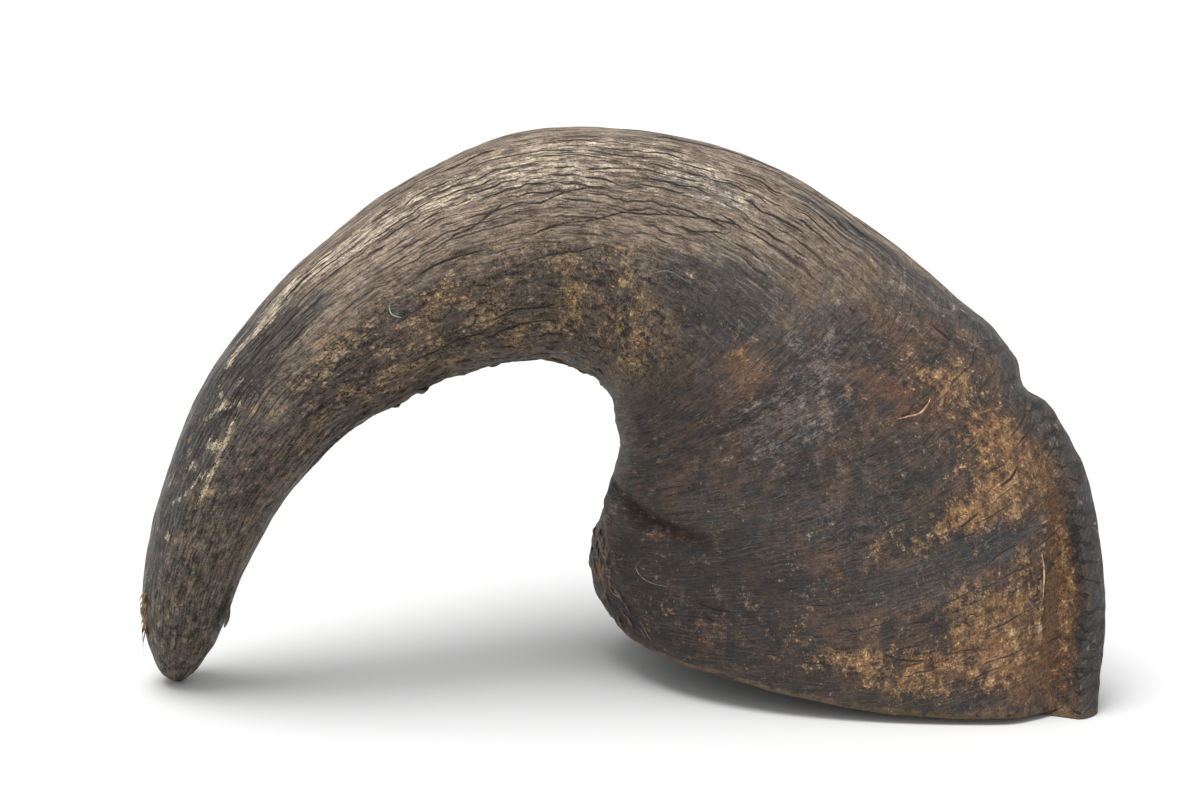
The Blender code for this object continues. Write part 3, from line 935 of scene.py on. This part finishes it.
# %% Rings on the base and cuts on the ridge
RINGS_PER_METRE = 230
RIDGE_CUTS_PER_METRE = 170
grown_wobble = speckle(grown_place, 40, detail=3.0, roughness=0.6) - 0.5
ring_lines = grown * RINGS_PER_METRE + grown_wobble * 2.5
ridge_lines = straight_z * RIDGE_CUTS_PER_METRE + ripple * 2
base_splits = splits(ring_lines, around * 9 + ripple * 0.2, 3.0, 3.0, (0.52, 0.66), 0.12)
pale_rings = splits(ring_lines * 1.7, around * 12 + ripple * 0.2, 13.0, 3.0, (0.48, 0.62), 0.16)
ridge_splits = splits(ridge_lines, around * 24, 5.0, 1.0, (0.40, 0.50), 0.15)
print(len(horn.node_tree.nodes), "nodes so far")

# %% [markdown]
# ## Long cuts, loose flakes and all the cracks together
# The long cracks take their width from noise, so that they open and close along the way. Where horn
# flakes, each flake has a dark edge, and those edges are the borders between cells of a Voronoi
# pattern that noise has shifted about. A crack that lies in another one makes it no darker, so the
# strongest of them all counts.

# %% Long cuts and flakes
CUT_HALF_WIDTH, CUT_SPREAD = 0.00015, 0.0006
cut_width = ramp(read("cut_near"), 0.1, 1.0) * (CUT_HALF_WIDTH + CUT_SPREAD * ramp(crumb, 0.38, 0.60))
cut = ramp(abs(read("cut_gap") + (crumb - 0.5) * 0.0012) - cut_width, 0.0001, -0.0002)

FLAKES_PER_METRE = 210
FLAKE_SHIFT = (0.006, 0.006, 0.006)
scatter = speckle(place, 180, detail=3.0, roughness=0.5, out=1)
moved = {0: scatter, 1: FLAKE_SHIFT, 2: place}
shifted = Wire.node("ShaderNodeVectorMath", {"operation": "MULTIPLY_ADD"}, moved)
flake_edges = ramp(0.10 - cells(stretched(shifted, (1.0, 1.0, 0.38)), FLAKES_PER_METRE), 0.0, 0.06)
flake_edges = flake_edges * ramp(crumb * 0.6 + blotch * 0.4, 0.50, 0.57)
print(len(horn.node_tree.nodes), "nodes so far")


# %% All the cracks together
def most(*shares):
    """The strongest of several shares."""
    top = shares[0]
    for share in shares[1:]:
        top = Wire.maths("MAXIMUM", top, share)
    return top


cracks = most(
    flake_edges * (crumbled * 0.8 + on_leg * 0.3 + 0.15),
    short_splits * crumbled * (1 - on_base) * 0.9,
    long_splits * split_share,
    fine_splits * (split_share * 0.75) * (1 - on_leg * 0.5),
    base_splits * on_base * 0.8,
    ridge_splits * read("ridge"),
    cut,
)
print(len(horn.node_tree.nodes), "nodes so far")

# %% [markdown]
# ## Hollow, light and shade in the fibres
# The wall of the hollow is brown with dark clouds. Everywhere else every fibre, tick and grain is a
# little lighter or darker than its neighbour, and most so in the flaking band, so the colour so far
# is scaled by noise. Pale growth lines and pale splits go on top.

# %% Hollow and light
hollow_colour = blend(HOLLOW, CHAR_AND_SHADE, cloud * 0.5 + streak * 0.5)
colour = blend(colour, hollow_colour, read("hollow"))
fibre_depth = 1 - on_base * 0.55
fibre_tone = ((line - 0.5) * 0.5 + (streak - 0.5) * 0.3) * fibre_depth
soft_light = 1.24 - 0.29 * on_base - 0.20 * on_leg + 0.52 * crumbled * (1 - on_leg)
flecked = (grit - 0.5) * (2.6 + 3.6 * crumbled + 1.4 * on_leg)
flecked = flecked + (crumb - 0.5) * (2.9 + 6.2 * crumbled + 1.4 * on_leg)
flecked = flecked + (tick - 0.5) * (4.5 * crumbled + 6.0 * on_leg)
colour = lit(colour, soft_light + fibre_tone + flecked)
colour = blend(colour, ASH, pale_rings * on_base * 0.3)
pale_share = pale_splits * (1 - on_base) * (1 - crumbled * 0.6) * (1 - on_leg * 0.6)
colour = blend(colour, CREAM, pale_share * 0.3)
print(len(horn.node_tree.nodes), "nodes so far")

# %% [markdown]
# ## Hairs, dust, gloss and relief
# Fine pale hairs and flecks of dust lie over everything, and the worn edge of the rim is ochre.
# Then the cracks go in, darkest of all. Smooth slate skin shines a little and the rest is matt. The
# relief is a Bump node fed by the same noise, with the cracks sunk into it.

# %% Hairs and dust
HAIR_HALF_WIDTH = 0.010
hair_field = speckle(stretched(place, (1.0, 0.5, 0.25)), 330, detail=3.0, roughness=0.5)
hairs = ramp(HAIR_HALF_WIDTH - abs(hair_field - 0.5), 0.0, 0.012) * ramp(blotch, 0.5, 0.6)
colour = blend(colour, CREAM, hairs * (0.2 + 0.45 * read("slate")))
fleck_cells = cells(stretched(place, (1.0, 1.0, 0.5)), 300, "F1")
flecks = ramp(fleck_cells, 0.16, 0.07) * ramp(grit, 0.5, 0.6)
colour = blend(colour, CREAM, flecks * 0.7)
rim_edge = ramp(read("rim") + broken * 0.25, 0.82, 1.0) * (1 - read("hollow"))
colour = blend(colour, OCHRE, rim_edge * 0.45)
colour = blend(colour, CRACK, cracks * 0.92)
plug(shader, "Base Color", colour)
print(len(horn.node_tree.nodes), "nodes so far")

# %% Gloss and relief
RELIEF_HEIGHT = 0.0016
smooth_skin = mark("slate", 0.35, 0.7)
plug(shader, "Roughness", 0.56 - 0.16 * smooth_skin + 0.24 * (0.5 - line) + 0.3 * (grit - 0.5))
relief = line * 0.3 + streak * 0.5 + (grit - 0.5) * 0.8 + (blotch - 0.5) * 1.6
relief = relief + (crumb - 0.5) * (2.2 + 5.5 * crumbled)
relief = relief + mark("ochre", 0.5, 0.7) * 0.35 - smooth_skin * 0.3 - cracks * 1.8
bump = Wire.node("ShaderNodeBump", {}, {"Strength": 1.0, "Distance": RELIEF_HEIGHT, "Height": relief})
plug(shader, "Normal", bump)
sheath_mesh.materials.append(horn)
print(len(horn.node_tree.nodes), "nodes in the horn's material")

# %% [markdown]
# ## Loose fibres and flakes
# Weathered horn sheds fibres. Some have caught on this one: straw and dark flakes at the tip, two
# curled strips on the base, a green thread, a few hairs, splinters along the inner curve and chips
# at the worn end. Each is a tapering strand, wrapped from a small grid as the sheath was, over a
# path of ring, column and height above the skin.

# %% A tapering strand
SIDES = 6
STRAND_ROWS = 12
MARGIN = 0.0004  # strands stay this far inside the frame's box


def strand(path, thickness, flatness=1.0, drift=(0.0, 0.0, 0.0)):
    """Points of a strand that tapers to both ends; drift carries its far end away."""
    spots = [place_at(ring, column, points) for ring, column, lift in path]
    lifts = np.array([lift for ring, column, lift in path])
    outs = np.array([out for spot, out in spots])
    centres = np.array([spot for spot, out in spots]) + outs * lifts[:, None]
    knots = np.linspace(0, 1, len(path))
    centres += knots[:, None] ** 2 * np.array(drift)
    at = np.linspace(0, 1, STRAND_ROWS)
    middle = through(centres[:, None], knots, at)[:, 0]
    out = through(outs[:, None], knots, at)[:, 0]
    along = np.gradient(middle, axis=0)
    side = np.cross(along, out)
    side /= np.linalg.norm(side, axis=1, keepdims=True)
    up = np.cross(side, along)
    up /= np.linalg.norm(up, axis=1, keepdims=True)
    reach = thickness * np.sqrt(np.clip(np.sin(math.pi * at), 0, 1))[:, None, None]
    turn = (np.arange(SIDES) * math.tau / SIDES)[None, :, None]
    sideways = flatness * np.cos(turn) * side[:, None]
    body = middle[:, None] + reach * (sideways + np.sin(turn) * up[:, None])
    return np.clip(body, low + MARGIN, high - MARGIN)


WIDE_STRIP = (
    (37.8, 36.9, 0.0002),
    (37.7, 37.3, 0.0008),
    (37.7, 37.8, 0.0015),
    (37.6, 38.2, 0.0012),
    (37.3, 38.6, 0.0002),
)
THIN_STRIP = ((43.1, 40.9, 0.0), (43.7, 40.9, 0.0007), (44.5, 40.8, 0.0003))
THREAD = ((17.7, 34.9, 0.0003), (17.4, 34.3, 0.0008), (17.4, 33.9, 0.0008), (17.6, 33.5, 0.0004))
curled = [strand(WIDE_STRIP, 0.00036, flatness=1.3), strand(THIN_STRIP, 0.0004, flatness=1.5)]
thread = [strand(THREAD, 0.00034)]
print(len(curled), "strips and", len(thread), "thread")

# %% Caught straw
chance = np.random.default_rng(11)
STRAWS = 16
STRAW_THICKNESS = 0.00034
straw = []
for number in range(STRAWS):
    ring = 3.2 + 0.09 * number
    length = 0.006 + 0.006 * chance.random()
    fall_x = -length * chance.uniform(0.3, 0.9)
    fall_y = -0.003 * chance.random()
    fall_z = -length * chance.uniform(0.2, 1.0)
    start = (ring + 0.5, 42.6 + chance.normal() * 0.4, -0.0003)
    path = (start, (ring, 42.8, 0.0006), (ring - 0.3, 43.0, 0.001))
    straw.append(strand(path, STRAW_THICKNESS, drift=(fall_x, fall_y, fall_z)))
print(len(straw), "straws")

# %% Hairs and splinters
HAIRS = (
    (((42.5, 28.8, 0.0003), (43.2, 28.7, 0.0006), (43.7, 29.1, 0.0006), (43.9, 29.8, 0.0002)), 0.00012),
    (((27.6, 34.2, 0.0003), (28.4, 34.8, 0.0006), (29.6, 34.6, 0.0003)), 0.00011),
    (((24.2, 37.8, 0.0003), (25.0, 37.2, 0.0006), (25.6, 37.4, 0.0003)), 0.00011),
)
TIP_SPLINTERS = (
    (((4.6, 26.6, -0.0006), (4.2, 26.7, 0.0014), (3.8, 26.9, 0.0028), (3.5, 27.0, 0.0034)), 0.0008, 2.8),
    (((4.2, 26.0, -0.0006), (3.9, 26.3, 0.0016), (3.6, 26.5, 0.0024)), 0.0008, 2.4),
    (((5.1, 26.4, -0.0006), (4.8, 26.7, 0.0010), (4.3, 27.0, 0.0008)), 0.0006, 2.4),
    (((3.7, 27.6, -0.0006), (3.5, 27.5, 0.0014), (3.2, 27.4, 0.0020)), 0.0006, 1.8),
    (((3.9, 43.1, -0.0004), (3.4, 43.0, 0.0012), (2.9, 42.8, 0.0004)), 0.0009, 1.6),
)
hair = [strand(path, thickness) for path, thickness in HAIRS]
splinters = [strand(path, thickness, flatness) for path, thickness, flatness in TIP_SPLINTERS]
for ring in np.arange(13.0, 28.0, 0.30):
    column = 25.0 + chance.uniform(-2.5, 4.5)
    reach = chance.uniform(0.6, 1.5)
    lift = chance.uniform(-0.0002, 0.0006)
    turn_off = chance.normal() * 0.15
    rise = (ring + reach / 2, column + turn_off, lift)
    path = ((ring, column, -0.0008), rise, (ring + reach, column + 2 * turn_off, -0.0005))
    splinters.append(strand(path, chance.uniform(0.0005, 0.0010), chance.uniform(1.6, 3.2)))
print(len(hair), "hairs and", len(splinters), "splinters")

# %% Chips at the worn end
chips = []
for ring in np.arange(41.0, 47.0, 0.2):
    column = 25.6 + (ring - 41.0) * 0.42 + chance.uniform(-1.1, 1.1)
    lift = chance.uniform(0.0, 0.0007)
    path = ((ring, column, -0.0006), (ring + 0.4, column + 0.2, lift), (ring + 0.9, column + 0.3, -0.0005))
    chips.append(strand(path, chance.uniform(0.0003, 0.0006), chance.uniform(1.2, 2.0)))
print(len(chips), "chips")


# %% Making the pieces
def strands_mesh(name, strands):
    """One mesh from several strands, each wrapped from its own grid."""
    build = bmesh.new()
    for body in strands:
        made = bmesh.ops.create_grid(build, x_segments=SIDES, y_segments=STRAND_ROWS - 1, size=1)
        for vert in made["verts"]:
            side = round((vert.co.x + 1) / 2 * SIDES) % SIDES
            vert.co = body[round((vert.co.y + 1) / 2 * (STRAND_ROWS - 1)), side]
        bmesh.ops.remove_doubles(build, verts=made["verts"], dist=MERGED_AT)
    bmesh.ops.recalc_face_normals(build, faces=build.faces)
    made_mesh = bpy.data.meshes.new(name)
    build.to_mesh(made_mesh)
    build.free()
    made_mesh.shade_smooth()
    piece = bpy.data.objects.new(name, made_mesh)
    bpy.context.scene.collection.objects.link(piece)
    return piece


def loose_material(name, dark, pale):
    """A fibre's colour, uneven from place to place."""
    material, fibre_shader = new_material(name)
    here = Wire.node("ShaderNodeTexCoord", out=3)
    uneven = ramp(speckle(here, 420, detail=4.0, roughness=0.7), 0.38, 0.62)
    plug(fibre_shader, "Base Color", blend(paint(*dark), paint(*pale), uneven))
    fibre_shader.inputs["Roughness"].default_value = 0.7
    return material


LOOSE = (
    ("caught_straw", straw, (112, 88, 60), (176, 152, 112)),
    ("curled_strips", curled, (150, 104, 72), (206, 170, 132)),
    ("green_thread", thread, (96, 132, 96), (158, 190, 150)),
    ("fine_hairs", hair, (120, 112, 104), (178, 168, 156)),
    ("dark_splinters", splinters, (46, 38, 32), (92, 76, 62)),
    ("pale_chips", chips, (60, 50, 41), (106, 88, 66)),
)
loose_pieces = []
for name, strands, dark, pale in LOOSE:
    piece = strands_mesh(name, strands)
    piece.data.materials.append(loose_material(name, dark, pale))
    loose_pieces.append(piece)
faces = sum(len(piece.data.polygons) for piece in loose_pieces)
print(len(loose_pieces), "loose pieces with", faces, "faces")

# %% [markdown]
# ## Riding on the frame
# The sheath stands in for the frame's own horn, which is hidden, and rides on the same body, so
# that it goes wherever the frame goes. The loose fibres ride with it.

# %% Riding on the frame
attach(sheath, "root")
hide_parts("horn_sheath")
for piece in loose_pieces:
    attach(piece, "root")
print(sheath.name, "and", len(loose_pieces), "loose pieces ride on the frame")

# %% [markdown]
# ## Table, light and camera
# A pale sweep, one broad soft light overhead and a bright surround give the even light of a
# catalogue picture: soft shadows under the horn and no hard highlights.

# %% A pale sweep
SWEEP_SIZE = 12
PAPER = (0.60, 0.60, 0.60, 1.0)
floor_mesh = bpy.data.meshes.new("white_sweep")
floor_build = bmesh.new()
bmesh.ops.create_grid(floor_build, x_segments=1, y_segments=1, size=SWEEP_SIZE)
floor_build.to_mesh(floor_mesh)
floor_build.free()
floor = bpy.data.objects.new("white_sweep", floor_mesh)
bpy.context.scene.collection.objects.link(floor)
floor_material, floor_shader = new_material("white_paper")
floor_shader.inputs["Base Color"].default_value = PAPER
floor_shader.inputs["Roughness"].default_value = 0.9
floor_mesh.materials.append(floor_material)
print("sweep", 2 * SWEEP_SIZE, "m wide")

# %% Light
SURROUND = 0.78
SUN, SUN_WIDTH, SUN_TURN = 3.4, 38, (-1, -11, 0)  # angles in degrees
world = bpy.data.worlds.new("bright_room")
bpy.context.scene.world = world
world.use_nodes = True
background = world.node_tree.nodes["Background"]
background.inputs["Color"].default_value = (1.0, 1.0, 1.0, 1.0)
background.inputs["Strength"].default_value = SURROUND
lamp = bpy.data.lights.new("overhead", "SUN")
lamp.energy = SUN
lamp.angle = math.radians(SUN_WIDTH)
overhead = bpy.data.objects.new("overhead", lamp)
overhead.rotation_euler = [math.radians(angle) for angle in SUN_TURN]
bpy.context.scene.collection.objects.link(overhead)
print("one light,", lamp.energy, "W per square metre")

# %% Camera
EYE = Vector((-0.0098, -1.3228, 0.5399))
LOOKS_AT = Vector((-0.0098, 0.0179, 0.13))
camera_data = bpy.data.cameras.new("catalogue_view")
camera_data.lens = 85
camera_data.sensor_width = 36
camera = bpy.data.objects.new("catalogue_view", camera_data)
camera.location = EYE
camera.rotation_mode = "QUATERNION"
camera.rotation_quaternion = (LOOKS_AT - EYE).to_track_quat("-Z", "Y")
bpy.context.scene.collection.objects.link(camera)
bpy.context.scene.camera = camera
bpy.context.scene.view_settings.view_transform = "Standard"
print("camera", round((LOOKS_AT - EYE).length, 2), "m away")
